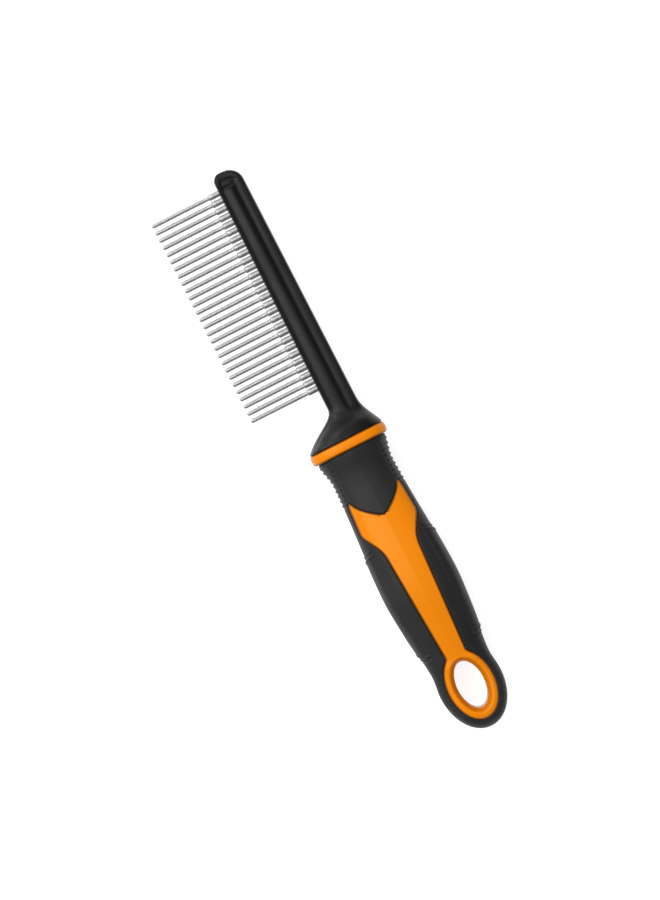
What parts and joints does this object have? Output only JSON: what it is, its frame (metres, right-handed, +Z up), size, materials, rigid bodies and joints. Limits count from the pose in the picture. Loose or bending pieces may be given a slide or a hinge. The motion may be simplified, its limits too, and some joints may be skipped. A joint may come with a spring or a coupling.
{
  "type": "flea comb",
  "caption": "Hand comb: one row of round-tipped steel pins in a black plastic spine, on a soft-grip handle with an oval hanging hole, for combing fleas from a pet's coat.",
  "frame": {"origin": "middle of the comb's overall box, on the surface it lies on", "axes": "+X runs along the comb from the handle to the head's tip, +Y is the way the pins point, +Z is up through the thickness"},
  "size_m": [0.2094, 0.0403, 0.0214],
  "materials": {
    "head_plastic": "glossy black moulding",
    "pin_steel": "polished steel",
    "core_plastic": "satin orange moulding",
    "grip_rubber": "matt black soft grip"
  },
  "bodies": {
    "root": {"comb_head": "head_plastic", "comb_pin_01": "pin_steel", "comb_pin_02": "pin_steel", "comb_pin_03": "pin_steel", "comb_pin_04": "pin_steel", "comb_pin_05": "pin_steel", "comb_pin_06": "pin_steel", "comb_pin_07": "pin_steel", "comb_pin_08": "pin_steel", "comb_pin_09": "pin_steel", "comb_pin_10": "pin_steel", "comb_pin_11": "pin_steel", "comb_pin_12": "pin_steel", "comb_pin_13": "pin_steel", "comb_pin_14": "pin_steel", "comb_pin_15": "pin_steel", "comb_pin_16": "pin_steel", "comb_pin_17": "pin_steel", "comb_pin_18": "pin_steel", "comb_pin_19": "pin_steel", "comb_pin_20": "pin_steel", "comb_pin_21": "pin_steel", "comb_pin_22": "pin_steel", "comb_pin_23": "pin_steel", "comb_pin_24": "pin_steel", "comb_pin_25": "pin_steel", "comb_pin_26": "pin_steel", "comb_pin_27": "pin_steel", "comb_pin_28": "pin_steel", "handle_core": "core_plastic", "rubber_grip": "grip_rubber"}
  },
  "joints": []
}
